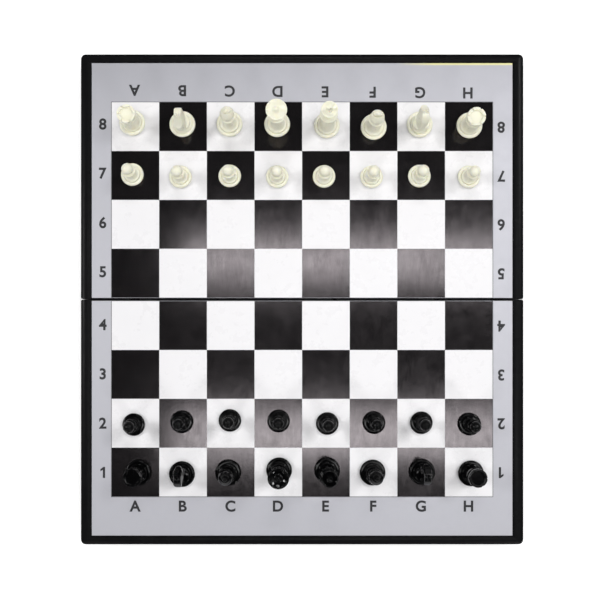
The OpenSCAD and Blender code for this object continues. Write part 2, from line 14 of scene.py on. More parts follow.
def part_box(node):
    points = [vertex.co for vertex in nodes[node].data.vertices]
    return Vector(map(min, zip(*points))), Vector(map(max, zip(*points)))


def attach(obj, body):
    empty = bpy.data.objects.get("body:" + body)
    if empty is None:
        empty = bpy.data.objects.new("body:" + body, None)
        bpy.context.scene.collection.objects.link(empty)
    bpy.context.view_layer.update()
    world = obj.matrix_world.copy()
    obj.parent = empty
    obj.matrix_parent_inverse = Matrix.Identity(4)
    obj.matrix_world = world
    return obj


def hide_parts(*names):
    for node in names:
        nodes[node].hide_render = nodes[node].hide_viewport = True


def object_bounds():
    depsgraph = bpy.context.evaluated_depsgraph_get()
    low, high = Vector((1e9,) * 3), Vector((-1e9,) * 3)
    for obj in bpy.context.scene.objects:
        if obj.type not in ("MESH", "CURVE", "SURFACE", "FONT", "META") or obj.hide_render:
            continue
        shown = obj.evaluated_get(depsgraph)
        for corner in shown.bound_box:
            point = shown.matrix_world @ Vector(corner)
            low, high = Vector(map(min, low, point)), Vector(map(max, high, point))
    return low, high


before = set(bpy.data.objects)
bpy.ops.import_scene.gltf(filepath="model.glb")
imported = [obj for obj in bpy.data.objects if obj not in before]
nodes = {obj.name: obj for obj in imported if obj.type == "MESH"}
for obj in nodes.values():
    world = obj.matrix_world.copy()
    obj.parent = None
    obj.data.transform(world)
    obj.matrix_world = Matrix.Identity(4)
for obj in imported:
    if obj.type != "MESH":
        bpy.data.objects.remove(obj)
cad_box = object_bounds()
MM = 0.001
print("measured parts:", len(nodes), "size in mm:", [round(s / MM, 1) for s in cad_box[1] - cad_box[0]])

# %% [markdown]
# The camera hangs straight over the board, as for a picture in a catalogue.
# It could be turned down from a side view, but a new camera already looks straight down, so it only
# needs a place. A lens of about 53 mm at 0.58 m over the squares shows a little of the sides of the
# tall men. The lens is shifted a little, because the middle of the board lies beside the camera's axis.

# %% Camera over the board
CAMERA_PLACE = (-7.9 * MM, -31 * MM, 599.4 * MM)
SENSOR_WIDTH, FOCAL_LENGTH = 36, 53.46
SHIFT_RIGHT, SHIFT_UP = 0.0167, 0.0783

bpy.ops.object.camera_add(location=CAMERA_PLACE, rotation=(0, 0, 0))
camera = bpy.context.object
camera.name = "overhead_camera"
camera.data.sensor_width = SENSOR_WIDTH
camera.data.lens = FOCAL_LENGTH
camera.data.shift_x, camera.data.shift_y = SHIFT_RIGHT, SHIFT_UP
bpy.context.scene.camera = camera
bpy.context.scene.view_settings.view_transform = "Standard"
print("camera height in mm:", round(camera.location.z / MM, 1))

# %% [markdown]
# Every finish in this lesson is a small tree of nodes that ends in one shader. A tree could be written
# out node by node, but the same few calls would then hide what it does. A handful of helpers makes a
# node, sets it, links it and hands back its result, so that a finish reads like a recipe.

# %% Helpers for finishes
def clear_selection():
    if bpy.context.mode != "OBJECT":
        bpy.ops.object.mode_set(mode="OBJECT")
    bpy.ops.object.select_all(action="DESELECT")


def node_material(name):
    """A new material with its node tree and its main shader."""
    material = bpy.data.materials.new(name)
    material.use_nodes = True
    tree = material.node_tree
    return material, tree, tree.nodes["Principled BSDF"]


def link(tree, start, end):
    tree.links.new(start, end)


def add_node(tree, kind, **settings):
    node = tree.nodes.new(kind)
    for key, value in settings.items():
        setattr(node, key, value)
    return node


def calculate(tree, operation, *values):
    """The result of one sum, such as the product or the larger of two values."""
    node = add_node(tree, "ShaderNodeMath", operation=operation)
    for socket, value in zip(node.inputs, values):
        link(tree, value, socket)
    return node.outputs[0]


def spread(tree, value, from_min, from_max, to_min=0, to_max=1, **settings):
    """Maps a value from one range to another, held inside it."""
    ranged = add_node(tree, "ShaderNodeMapRange", **settings)
    numbers = {"From Min": from_min, "From Max": from_max, "To Min": to_min, "To Max": to_max}
    for socket, number in numbers.items():
        ranged.inputs[socket].default_value = number
    link(tree, value, ranged.inputs["Value"])
    return ranged.outputs["Result"]


def place_on_object(tree):
    """The three coordinates of the point that is shaded, in metres on the object itself."""
    spot = add_node(tree, "ShaderNodeTexCoord")
    parts = add_node(tree, "ShaderNodeSeparateXYZ")
    link(tree, spot.outputs["Object"], parts.inputs[0])
    return parts.outputs


print("helpers ready")

# %% [markdown]
# The set lies on a plain white table. A plane is enough, because nothing of it is seen but its shadow.
# Its colour is pale. Rays that come straight from the camera, from glossy things or through clear ones
# also get a little light of the table's own, so that it reads as clean white and still keeps the shadow.
# That light grows with the distance, because the lamps don't reach the far end of the table.
# Straight under the fold the table has no light of its own, so the gap between the halves stays dark.

# %% Table
TABLE_SIZE = 6
NEAR_GLOW, FAR_GLOW = 0.45, 1.0
GLOW_GROWS_FROM, GLOW_GROWS_TO = 0.5, 1.6
DARK_STRIP = (("X", cad_box[1].x + 4.8 * MM), ("Y", 6 * MM))
STRIP_EDGE_INSIDE, STRIP_EDGE_OUTSIDE = 1.5 * MM, 0.5 * MM

clear_selection()
bpy.ops.mesh.primitive_plane_add(size=TABLE_SIZE, location=(0, 0, 0))
table = bpy.context.object
table.name = "white_table"
table_paint, tree, shader = node_material("white_table_top")
shader.inputs["Base Color"].default_value = (0.82, 0.82, 0.82, 1)
shader.inputs["Roughness"].default_value = 0.9
seen = add_node(tree, "ShaderNodeLightPath").outputs
camera_or_glossy = calculate(tree, "MAXIMUM", seen["Is Camera Ray"], seen["Is Glossy Ray"])
any_view = calculate(tree, "MAXIMUM", camera_or_glossy, seen["Is Transmission Ray"])
spot = add_node(tree, "ShaderNodeTexCoord")
reach = add_node(tree, "ShaderNodeVectorMath", operation="LENGTH")
link(tree, spot.outputs["Object"], reach.inputs[0])
glow = spread(tree, reach.outputs["Value"], GLOW_GROWS_FROM, GLOW_GROWS_TO, NEAR_GLOW, FAR_GLOW)
lift = calculate(tree, "MULTIPLY", any_view, glow)
outside = []
for axis, half in DARK_STRIP:
    far_off = calculate(tree, "ABSOLUTE", place_on_object(tree)[axis])
    outside.append(spread(tree, far_off, half - STRIP_EDGE_INSIDE, half + STRIP_EDGE_OUTSIDE))
shown = calculate(tree, "MULTIPLY", lift, calculate(tree, "MAXIMUM", *outside))
shader.inputs["Emission Color"].default_value = (1, 1, 1, 1)
link(tree, shown, shader.inputs["Emission Strength"])
table.data.materials.append(table_paint)
print("table laid:", table.name)

# %% [markdown]
# Shiny black men show every lamp, so the lamps are chosen for what they look like in a mirror.
# Two broad dim ones left and right, and a card on the right, light the white squares evenly. Five small
# bright ones stand round the board like windows: they give each turned man his few sharp spots, and
# the two near ones light the sides that face the player. Two long narrow ones hang beside the camera and
# show again as two soft bands in the glossy dark squares. All are soft area lamps.

# %% Lamps
def soft_lamp(name, place, size, brightness):
    """A rectangular lamp that faces the board. Its brightness is what a mirror would show of it."""
    bpy.ops.object.light_add(type="AREA", location=place)
    lamp = bpy.context.object
    lamp.name = name
    lamp.data.shape = "RECTANGLE"
    lamp.data.size, lamp.data.size_y = size
    lamp.data.energy = brightness * size[0] * size[1] * math.pi
    lamp.rotation_euler = (-Vector(place)).to_track_quat("-Z", "Y").to_euler()
    return lamp


def hanging_lamp(name, place, size, brightness):
    """A lamp that hangs level and faces straight down."""
    soft_lamp(name, place, size, brightness).rotation_euler = (0, 0, 0)


soft_lamp("right_lamp", place=(0.98, 0.2, 1.45), size=(0.45, 0.9), brightness=1.0)
soft_lamp("left_lamp", place=(-0.98, 0.1, 1.45), size=(0.42, 0.85), brightness=1.0)
soft_lamp("right_bulb", place=(0.90, 0.55, 1.3), size=(0.32, 0.12), brightness=47)
soft_lamp("left_bulb", place=(-1.0, 0.10, 1.15), size=(0.32, 0.12), brightness=47)
soft_lamp("near_right_bulb", place=(0.60, -1.15, 0.95), size=(0.24, 0.12), brightness=36)
soft_lamp("near_left_bulb", place=(-0.65, -1.10, 0.95), size=(0.24, 0.12), brightness=33)
soft_lamp("far_lamp", place=(0.05, 0.92, 1.25), size=(0.5, 0.12), brightness=20)
hanging_lamp("right_card", place=(1.05, 0.0, 1.5), size=(0.8, 1.6), brightness=1.05)
hanging_lamp("far_strip", place=(0.155, 0.172, 1.5), size=(0.81, 0.10), brightness=8.3)
hanging_lamp("near_strip", place=(0.14, -0.232, 1.5), size=(0.84, 0.105), brightness=9.4)

# %% [markdown]
# A room with grey walls and a dark ceiling fills the shade. It could be one even grey, but then black
# things would mirror it from all sides. The walls soften the shadows, and the dark ceiling keeps black
# things black. The camera itself sees it white. The height in the room sets how bright it is.

# %% Room
WALLS_END, CEILING_STARTS = 0.35, 0.80
WALL_LIGHT, CEILING_LIGHT = 0.28, 0.05
# A Mix node keeps its sockets for plain values and for colours side by side.
MIX_FACTOR = 0
MIX_VALUES = (2, 3)
MIX_COLOURS = (6, 7)

room = bpy.data.worlds.new("pale_room")
bpy.context.scene.world = room
room.use_nodes = True
tree = room.node_tree
air = tree.nodes["Background"]
air.inputs["Color"].default_value = (1, 1, 1, 1)
way = add_node(tree, "ShaderNodeTexCoord")
parts = add_node(tree, "ShaderNodeSeparateXYZ")
link(tree, way.outputs["Generated"], parts.inputs[0])
walls = spread(
    tree, parts.outputs["Z"], WALLS_END, CEILING_STARTS, WALL_LIGHT, CEILING_LIGHT,
    interpolation_type="SMOOTHSTEP",
)
path = add_node(tree, "ShaderNodeLightPath")
level = add_node(tree, "ShaderNodeMix", data_type="FLOAT")
link(tree, path.outputs["Is Camera Ray"], level.inputs[MIX_FACTOR])
link(tree, walls, level.inputs[MIX_VALUES[0]])
level.inputs[MIX_VALUES[1]].default_value = 1.0
link(tree, level.outputs[0], air.inputs["Strength"])
print("room:", room.name)

# %% [markdown]
# Real surfaces are never the same all over. A picture of wear could be laid on, but it would stretch and
# blur. Noise that is worked out from the object's own coordinates is sharp at any distance and never
# slides. It can change a colour, a shine or, as a bump, the surface itself.

# %% Helpers for worn surfaces
def noise(tree, scale, detail=3.0, rough=0.5, stretch=(1, 1, 1)):
    """Noise on the object's own coordinates, in metres, so that it never slides."""
    spot = add_node(tree, "ShaderNodeTexCoord")
    place = add_node(tree, "ShaderNodeMapping")
    place.inputs["Scale"].default_value = stretch
    link(tree, spot.outputs["Object"], place.inputs["Vector"])
    cloud = add_node(tree, "ShaderNodeTexNoise")
    cloud.inputs["Scale"].default_value = scale
    cloud.inputs["Detail"].default_value = detail
    cloud.inputs["Roughness"].default_value = rough
    link(tree, place.outputs["Vector"], cloud.inputs["Vector"])
    return cloud.outputs["Fac"]


def patchy(tree, cloud, low, high):
    """A value that drifts between two ends. Noise seldom leaves 0.3 to 0.7, so that range is spread."""
    return spread(tree, cloud, 0.3, 0.7, low, high)


def blend_colours(tree, factor, first, second):
    """Mixes two colours. Each is a plain colour or the output of another node."""
    mixer = add_node(tree, "ShaderNodeMix", data_type="RGBA")
    link(tree, factor, mixer.inputs[MIX_FACTOR])
    for place, colour in zip(MIX_COLOURS, (first, second)):
        if isinstance(colour, bpy.types.NodeSocket):
            link(tree, colour, mixer.inputs[place])
        else:
            mixer.inputs[place].default_value = (*colour, 1)
    return mixer.outputs[2]


def grain(tree, shader, height, depth, strength=1.0):
    """Turns a height into a bump on the shader."""
    bump = add_node(tree, "ShaderNodeBump")
    bump.inputs["Strength"].default_value = strength
    bump.inputs["Distance"].default_value = depth
    link(tree, height, bump.inputs["Height"])
    link(tree, bump.outputs["Normal"], shader.inputs["Normal"])


def finish_node(name, material):
    """Gives a measured part its finish."""
    part = nodes[name]
    if not part.material_slots:
        part.data.materials.append(material)
    for place in part.material_slots:
        place.material = material


print("helpers ready")

# %% [markdown]
# The half cases are moulded in black plastic with a fine matt grain that has been handled for years.
# A plain dark colour would look like paint. Three layers of noise are laid on the real surface instead:
# a broad one for the slight change of shine, a fine one for the grain, and a middle one that lets the
# crowned rim turn a little paler: partly wear where hands and table tops rub it, partly a painted highlight.

# %% Black case plastic
WEAR_AND_HIGHLIGHT_STARTS, WEAR_AND_HIGHLIGHT_FULL = 0.0194, 0.0200

case_plastic, tree, shader = node_material("black_case_plastic")
# Paler crowned rim: partly rubbed wear, partly a painted highlight along the rim.
rim_top = spread(tree, place_on_object(tree)["Z"], WEAR_AND_HIGHLIGHT_STARTS, WEAR_AND_HIGHLIGHT_FULL)
wear_and_highlight_patches = spread(tree, noise(tree, 160, 4), 0.35, 0.75, 0.2, 1)
wear_and_highlight = calculate(tree, "MULTIPLY", rim_top, wear_and_highlight_patches)
shade = blend_colours(tree, noise(tree, 35, 3), (0.0030, 0.0030, 0.0034), (0.0055, 0.0055, 0.0062))
link(tree, blend_colours(tree, wear_and_highlight, shade, (0.006, 0.006, 0.0065)), shader.inputs["Base Color"])
link(tree, patchy(tree, noise(tree, 60, 5), 0.24, 0.34), shader.inputs["Roughness"])
shader.inputs["Specular IOR Level"].default_value = 0.05
grain(tree, shader, noise(tree, 2600, 2), 0.00001, 0.4)
for name in ("near_case", "far_case"):
    finish_node(name, case_plastic)
print("finish:", case_plastic.name)

# %% [markdown]
# The face of each half is a silver printed film over a thin steel plate.
# Silver ink is a lacquer full of tiny metal flakes: partly metal, partly paint, with a soft sheen.
# Very fine noise breaks up the sheen as the flakes do. Towards the far edge the colour turns darker, and
# along that edge, at one corner, it has yellowed where the glue shows through. So the colour is mixed
# by place: one share grows towards the far edge, and the other only where edge and corner meet.

# %% Silver film
DARKER_FROM, DARKER_TO = 0.100, 0.150
YELLOW_EDGE_FROM, YELLOW_EDGE_TO = 0.15215, 0.15300
YELLOW_CORNER_FROM, YELLOW_CORNER_TO = 0.062, 0.086

silver_film, tree, shader = node_material("silver_printed_film")
flakes = noise(tree, 5200, 2, 0.7)
silver = blend_colours(tree, flakes, (0.47, 0.47, 0.51), (0.53, 0.53, 0.57))
place = place_on_object(tree)
# The colour turns darker towards the far edge.
darker_towards_far_edge = spread(tree, place["Y"], DARKER_FROM, DARKER_TO)
silver = blend_colours(tree, darker_towards_far_edge, silver, (0.42, 0.42, 0.455))
edge = spread(tree, place["Y"], YELLOW_EDGE_FROM, YELLOW_EDGE_TO)
corner = spread(tree, place["X"], YELLOW_CORNER_FROM, YELLOW_CORNER_TO)
yellowed = calculate(tree, "MULTIPLY", edge, corner)
link(tree, blend_colours(tree, yellowed, silver, (0.68, 0.65, 0.33)), shader.inputs["Base Color"])
shader.inputs["Metallic"].default_value = 0.5
link(tree, patchy(tree, noise(tree, 240, 4), 0.46, 0.54), shader.inputs["Roughness"])
grain(tree, shader, flakes, 0.00001, 0.25)
for name in ("near_face_film", "far_face_film"):
    finish_node(name, silver_film)
print("finish:", silver_film.name)

# %% [markdown]
# The dark squares are glossy foil, the most mirror-like things on the board. They are never quite
# flat and have been wiped many times. A flat mirror would show hard-edged lamps. A slow wave in the
# surface bends what they mirror, a slow noise blurs it here and there, and a stretched one leaves the
# marks of wiping. The light squares are white foil with the same wave, but under white it hardly shows.

# %% Foil squares
def foil(name, first, second, shine, strength, wave):
    """A glossy foil: two close colours, a patchy shine, faint marks of wiping and a slow wave."""
    material, tree, shader = node_material(name)
    link(tree, blend_colours(tree, noise(tree, 90, 4, 0.6), first, second), shader.inputs["Base Color"])
    link(tree, patchy(tree, noise(tree, 130, 5, 0.65), *shine), shader.inputs["Roughness"])
    wipes = noise(tree, 330, 5, 0.7, stretch=(1, 0.22, 1))
    link(tree, patchy(tree, wipes, *strength), shader.inputs["Specular IOR Level"])
    grain(tree, shader, noise(tree, 420, 3, 0.6), wave, 0.6)
    return material, shader


dark_foil, shader = foil(
    "glossy_dark_foil", (0.0036, 0.0034, 0.0038), (0.0060, 0.0052, 0.0056),
    shine=(0.10, 0.15), strength=(0.49, 0.75), wave=0.000008,
)
shader.inputs["Specular Tint"].default_value = (1.0, 0.91, 0.945, 1)
white_foil, shader = foil(
    "glossy_white_foil", (0.84, 0.83, 0.845), (0.87, 0.86, 0.875),
    shine=(0.24, 0.34), strength=(0.45, 0.55), wave=0.00001,
)
for side in ("near", "far"):
    finish_node(side + "_dark_squares", dark_foil)
    finish_node(side + "_light_squares", white_foil)
print("finishes:", dark_foil.name, white_foil.name)

# %% [markdown]
# Under the film lies tinplate, and the hinges and magnets are small steel parts.
# They are metal all through, so they need a metal shader. Fine noise that is stretched along X gives
# rolled tinplate its lines. The turned pins and pressed links are a little smoother.

# %% Tinplate, hinge steel and magnets
def metal(name, colour, shine, stretch):
    material, tree, shader = node_material(name)
    lines = noise(tree, 900, 4, 0.6, stretch)
    link(tree, blend_colours(tree, lines, colour, [0.8 * c for c in colour]), shader.inputs["Base Color"])
    link(tree, patchy(tree, lines, *shine), shader.inputs["Roughness"])
    shader.inputs["Metallic"].default_value = 1.0
    grain(tree, shader, lines, 0.00001, 0.3)
    return material


tinplate = metal("rolled_tinplate", (0.55, 0.56, 0.58), shine=(0.28, 0.42), stretch=(0.08, 1, 1))
hinge_steel = metal("bright_hinge_steel", (0.50, 0.50, 0.52), shine=(0.20, 0.34), stretch=(0.3, 1, 1))
magnet_plating = metal("nickel_magnet", (0.58, 0.57, 0.55), shine=(0.16, 0.28), stretch=(1, 1, 1))
for side in ("near", "far"):
    finish_node(side + "_steel_plate", tinplate)
    finish_node(side + "_hinge_pins", hinge_steel)
    finish_node(side + "_closing_magnets", magnet_plating)
for side in ("left", "right"):
    finish_node(side + "_hinge_link", hinge_steel)
print("finishes:", tinplate.name, hinge_steel.name, magnet_plating.name)

# %% [markdown]
# Each chessman is turned round an upright axis, so half of its outline says nearly all about it.
# It could be stacked from cones and balls, but then every joint between them would show.
# Here one point is drawn out along the half outline, as a pencil would do it, and then spun once round.
# The outlines use arcs, two hollow curves like those that a lathe tool leaves, and a free curve. A point of
# an outline is its distance from the axis and its height, in millimetres.

# %% Drawing lines for the outlines
def arc(centre, radius, start, end, steps=6):
    turns = [math.radians(start + (end - start) * i / steps) for i in range(steps + 1)]
    return [(centre[0] + radius * math.cos(a), centre[1] + radius * math.sin(a)) for a in turns]


def cove(start, end, steps=9):
    """A hollow curve that leaves start level and reaches end upright."""
    turns = [math.radians(90 * i / steps) for i in range(1, steps + 1)]
    wide, tall = end[0] - start[0], end[1] - start[1]
    return [(start[0] + wide * math.sin(a), start[1] + tall * (1 - math.cos(a))) for a in turns]


def flare(start, end, steps=9):
    """A hollow curve that leaves start upright and reaches end level."""
    turns = [math.radians(90 * i / steps) for i in range(1, steps + 1)]
    wide, tall = end[0] - start[0], end[1] - start[1]
    return [(start[0] + wide * (1 - math.cos(a)), start[1] + tall * math.sin(a)) for a in turns]


def curve(a, b, c, d, steps=10):
    """A free curve from a to d, pulled by b and c."""
    line = []
    for i in range(steps + 1):
        t = i / steps
        s = 1 - t
        line.append(tuple(
            s ** 3 * p + 3 * s * s * t * q + 3 * s * t * t * u + t ** 3 * v for p, q, u, v in zip(a, b, c, d)
        ))
    return line


print("a quarter turn has", len(arc((0, 0), 1, 0, 90)), "points")

# %% [markdown]
# All the men share one foot, as moulded men do: a rounded bead, a small step above it, and a low hollow
# curve up to a slim stem. Drawn for each man anew it would come out different each time. So it is one
# function, and so is the collar that stands out from a stem. All these sizes are in millimetres.

# %% The foot that all men share
FELT = 0.8  # height of the felt under the foot
BODY = 0.83  # where the plastic begins
BEAD = 2.2  # height of the rounded bead
STEP = 1.2  # height of the step above it
COVE = 4.6  # height of the hollow curve
STEM_TAPER = 0.045
FOOT_TOP = BODY + BEAD + STEP
OFFICER = 8.4  # radius of an officer's foot
PAWN = 7.35  # radius of a pawn's foot


def foot_edge(wide):
    """The edge of the foot: rounded below, a fine groove, and a step above."""
    line = [(0, BODY), (wide - BEAD / 2 - 0.3, BODY)]
    line += arc((wide - BEAD / 2, BODY + BEAD / 2), BEAD / 2, -75, 90, 9)
    bead_top, groove = FOOT_TOP - STEP, wide - BEAD
    line += [(groove + 0.35, bead_top), (groove - 0.05, bead_top - 0.4), (groove, bead_top + 0.1)]
    line += [(groove, FOOT_TOP - STEP / 2)]
    return line + arc((groove - STEP / 2, FOOT_TOP - STEP / 2), STEP / 2, 15, 90, 4)


def foot(wide, stem, stem_top):
    """The whole foot, its low hollow curve and the slim stem, which tapers a little on its way up."""
    stem_foot = stem + (stem_top - FOOT_TOP) * STEM_TAPER
    low = cove((wide - BEAD - STEP / 2, FOOT_TOP), (stem_foot, FOOT_TOP + COVE), 12)
    return foot_edge(wide) + low + [(stem, stem_top)]


def collar(stem, wide, low, tall):
    """A round collar that stands out from the stem."""
    edge = arc((wide - tall / 2, low + tall / 2), tall / 2, -90, 90, 8)
    return [(stem, low + 0.01)] + edge + [(stem, low + tall)]


print("foot of an officer:", len(foot(OFFICER, 3, 20)), "points")

# %% [markdown]
# The real patterns are turned on a lathe, and here the Spin operator is the lathe. A modifier could turn an
# outline too, but in edit mode each step can be seen. A small plane is shrunk to a single point, the
# point is extruded from place to place along the half outline, and the line is spun a full turn. Where
# the spin closes, its doubled points are merged, and the faces are turned outwards.

# %% The lathe
def point_to_draw(name, first):
    """A mesh of one point, in edit mode, with the object at the origin."""
    clear_selection()
    bpy.ops.mesh.primitive_plane_add(size=MM, location=(0, 0, 0))
    piece = bpy.context.object
    piece.name = name
    bpy.ops.object.mode_set(mode="EDIT")
    bpy.ops.mesh.select_all(action="SELECT")
    bpy.ops.mesh.merge(type="CENTER")
    bpy.ops.transform.translate(value=first)
    return piece


def draw_along(points):
    for here, there in zip(points, points[1:]):
        bpy.ops.mesh.extrude_region_move(TRANSFORM_OT_translate={"value": there - here})


def close_and_face_outwards():
    bpy.ops.mesh.select_all(action="SELECT")
    bpy.ops.mesh.remove_doubles(threshold=0.000004)
    bpy.ops.mesh.normals_make_consistent(inside=False)
    bpy.ops.object.mode_set(mode="OBJECT")


def turned(name, outline, steps=64):
    points = [Vector((r * MM, 0, z * MM)) for r, z in outline]
    piece = point_to_draw(name, points[0])
    draw_along(points)
    bpy.ops.mesh.select_all(action="SELECT")
    bpy.ops.mesh.spin(steps=steps, angle=2 * math.pi, center=(0, 0, 0), axis=(0, 0, 1))
    close_and_face_outwards()
    return piece


def smooth(piece, angle=35):
    clear_selection()
    piece.select_set(True)
    bpy.context.view_layer.objects.active = piece
    bpy.ops.object.shade_smooth_by_angle(angle=math.radians(angle))
    return piece


print("lathe ready")

# %% [markdown]
# The pawn is the plainest man: the foot, a slim neck with one collar, and a ball. The ball could be a
# sphere set on top, but as an arc of the same outline it grows out of the neck without a joint.

# %% Pawn
def pawn_outline():
    tall, low, ball, neck = 24, 14.8, 3.6, 2.4
    line = foot(PAWN, neck, low) + collar(neck, 4.4, low, 1.4)
    start = -math.degrees(math.acos(neck / ball))
    return line + arc((0, tall - ball), ball, start, 88, 16) + [(0, tall)]


pawn = smooth(turned("pawn_pattern", pawn_outline()))
print("pawn:", len(pawn.data.polygons), "faces, height in mm:", round(pawn.dimensions.z / MM + BODY, 2))

# %% [markdown]
# Slots, points and mouths are cut out of the turned men. Faces could be pushed in one by one, but a
# plain tool laid across the man and cut out of him leaves true, straight walls. Modifiers do the cut and
# then soften the new edges, and both are applied, so that each man is a finished mesh.

# %% Cutting tools
def use_modifier(piece, kind, **settings):
    """Adds a modifier, sets it and applies it."""
    clear_selection()
    piece.select_set(True)
    bpy.context.view_layer.objects.active = piece
    bpy.ops.object.modifier_add(type=kind)
    modifier = piece.modifiers[-1]
    for key, value in settings.items():
        setattr(modifier, key, value)
    bpy.ops.object.modifier_apply(modifier=modifier.name)


def joined(name, parts):
    clear_selection()
    for part in parts:
        part.select_set(True)
    bpy.context.view_layer.objects.active = parts[0]
    if len(parts) > 1:
        bpy.ops.object.join()
    parts[0].name = name
    return parts[0]


def remove(piece):
    bpy.data.objects.remove(piece)


def cut_away(piece, cutter, soften=0.12):
    """Cuts the cutter's shape out of the piece and softens the edges that the cut leaves."""
    use_modifier(piece, "BOOLEAN", operation="DIFFERENCE", solver="EXACT", object=cutter, use_self=True)
    remove(cutter)
    if soften:
        use_modifier(
            piece, "BEVEL", width=soften * MM, segments=2, limit_method="ANGLE",
            angle_limit=math.radians(50), use_clamp_overlap=True, harden_normals=False,
        )


def cutting_bar(size, place, turn=(0, 0, 0)):
    """A plain bar to cut with: a cube, scaled and turned, its place then put in its mesh."""
    clear_selection()
    bpy.ops.mesh.primitive_cube_add(size=1, location=[c * MM for c in place], rotation=turn)
    bar = bpy.context.object
    bar.scale = [s * MM for s in size]
    bpy.ops.object.transform_apply(location=True, rotation=True, scale=True)
    return bar


print("cutting tools ready")

# %% [markdown]
# The rook's tower flares to a wall with a cup inside, and six slots make its battlement.
# Three bars laid across the tower, each a sixth of a turn from the last, cut all six in one go.

# %% Rook
ROOK_HEIGHT = 25
SLOT_BAR = (14, 0.9, 2.8)
SLOT_BARS = 3


def rook_outline():
    tall, tower, stem, crown, lip = ROOK_HEIGHT, 7, 4.5, 5.8, 0.25
    low, wall, cup = tall - tower, 1.8, 1.8
    line = foot(OFFICER, stem, low) + collar(stem, crown, low, 1.2)
    line += [(crown - 0.5, low + 1.8)] + flare((crown - 0.5, low + 1.8), (crown, tall - 3.6), 8)
    line += arc((crown - lip, tall - lip), lip, 0, 90, 3)
    line += arc((crown - wall + lip, tall - lip), lip, 90, 180, 3)
    return line + [(crown - wall, tall - 1.5), (crown - wall - 0.3, tall - cup), (0, tall - cup)]


rook = turned("rook_pattern", rook_outline())
bars = [
    cutting_bar(SLOT_BAR, (0, 0, ROOK_HEIGHT), (0, 0, math.radians(180 / SLOT_BARS * i)))
    for i in range(SLOT_BARS)
]
cut_away(rook, joined("slots", bars))
smooth(rook)
print("rook:", len(rook.data.polygons), "faces")

# %% [markdown]
# The bishop wears a mitre: a drop shape with one slanted cut and a small ball on top. Drawn into the
# outline, the cut would run all round him, so it is sawn with a bar. It goes a little past the middle, as
# it does on moulded men, and its edges are softened.

# %% Bishop
def bishop_outline():
    tall, neck, head, ball = 35, 2.8, 4.1, 1.2
    low = tall - 14
    line = foot(OFFICER, neck, low) + collar(neck, 5, low, 1.3) + collar(neck, 3.9, low + 1.3, 0.9)
    z, top = low + 2.6, tall - 2 * ball + 0.2
    line += curve((neck - 0.4, z), (head * 1.4, z + 2), (head * 1.2, z + 5.5), (0.8, top), 16)
    return line + arc((0, tall - ball), ball, -45, 86, 8) + [(0, tall)]


SLIT_PLACE = Matrix.Translation((0, 0.6 * MM, 30.5 * MM))
SLIT_SLANT = Matrix.Rotation(math.radians(-38), 4, "X")
SLIT_DEPTH = Matrix.Translation((0, -6.56 * MM, 0))

bishop = turned("bishop_pattern", bishop_outline())
slit = cutting_bar((11, 8.2, 0.9), (0, 4.1, 0))
clear_selection()
slit.select_set(True)
bpy.context.view_layer.objects.active = slit
slit.matrix_world = SLIT_PLACE @ SLIT_SLANT @ SLIT_DEPTH
bpy.ops.object.transform_apply(location=True, rotation=True, scale=True)
cut_away(bishop, slit)
smooth(bishop)
print("bishop:", len(bishop.data.polygons), "faces")

# %% [markdown]
# The queen's coronet opens like a trumpet. Nine hollows round its rim leave nine points, and a
# small ball stands in the middle of the dish. The points could be raised one by one, but nine short
# round bars that lie like the spokes of a wheel cut all the hollows alike.

# %% Queen
def queen_outline():
    tall, neck, crown, ball = 40, 2.9, 6.6, 1.4
    low, rim = tall - 15, tall - 2
    line = foot(OFFICER, neck, low) + collar(neck, 5.6, low, 1.4) + collar(neck, 4.4, low + 1.4, 1)
    line += [(neck, low + 3.4)] + flare((neck, low + 3.4), (crown - 0.4, rim - 1), 12)
    line += [(crown, rim - 0.6)] + arc((crown - 0.25, rim - 0.25), 0.25, 0, 90, 3)
    line += arc((crown - 0.85, rim - 0.15), 0.15, 90, 160, 2)
    line += curve((crown - 1, rim - 0.2), (4.67, rim - 0.67), (3.73, rim - 1.1), (2.8, rim - 1.44), 12)
    line += curve((2.6, rim - 1.46), (1.9, rim - 1.3), (1.2, rim - 0.7), (1, rim), 6)
    return line + arc((0, tall - ball), ball, -40, 86, 8) + [(0, tall)]


POINTS = 9
SPOKE_RADIUS, SPOKE_LENGTH = 0.9, 3.4
SPOKE_PLACE = Matrix.Translation((6.3 * MM, 0, 38.35 * MM))

queen = turned("queen_pattern", queen_outline(), 72)
spokes = []
for i in range(POINTS):
    clear_selection()
    bpy.ops.mesh.primitive_cylinder_add(
        vertices=24, radius=SPOKE_RADIUS * MM, depth=SPOKE_LENGTH * MM, rotation=(0, math.pi / 2, 0)
    )
    spoke = bpy.context.object
    turn = Matrix.Rotation(math.radians(360 / POINTS * (i + 0.5)), 4, "Z")
    spoke.matrix_world = turn @ SPOKE_PLACE @ spoke.matrix_world
    bpy.ops.object.transform_apply(location=True, rotation=True, scale=True)
    spokes.append(spoke)
cut_away(queen, joined("spokes", spokes), 0.08)
smooth(queen)
print("queen:", len(queen.data.polygons), "faces")

# %% [markdown]
# The king's crown is a shallow dish with a small dome in its middle that carries a cross. The cross can't
# be turned: its outline is drawn, filled, extruded to its thickness and rounded a little along its edges.

# %% King
def slab(name, outline, thick, at):
    """A drawn outline, filled and extruded. at() gives the place of a point of the outline."""
    points = [at(p) for p in outline]
    piece = point_to_draw(name, points[0])
    draw_along(points)
    bpy.ops.mesh.select_all(action="SELECT")
    bpy.ops.mesh.edge_face_add()
    bpy.ops.mesh.extrude_region_move(TRANSFORM_OT_translate={"value": thick})
    close_and_face_outwards()
    return piece


def upright(y):
    """Stands an outline up, facing along Y, at that y in millimetres."""
    return lambda p: Vector((p[0] * MM, y * MM, p[1] * MM))


def flat(z):
    """Lays an outline level, at that height in millimetres."""
    return lambda p: Vector((p[0] * MM, p[1] * MM, z * MM))


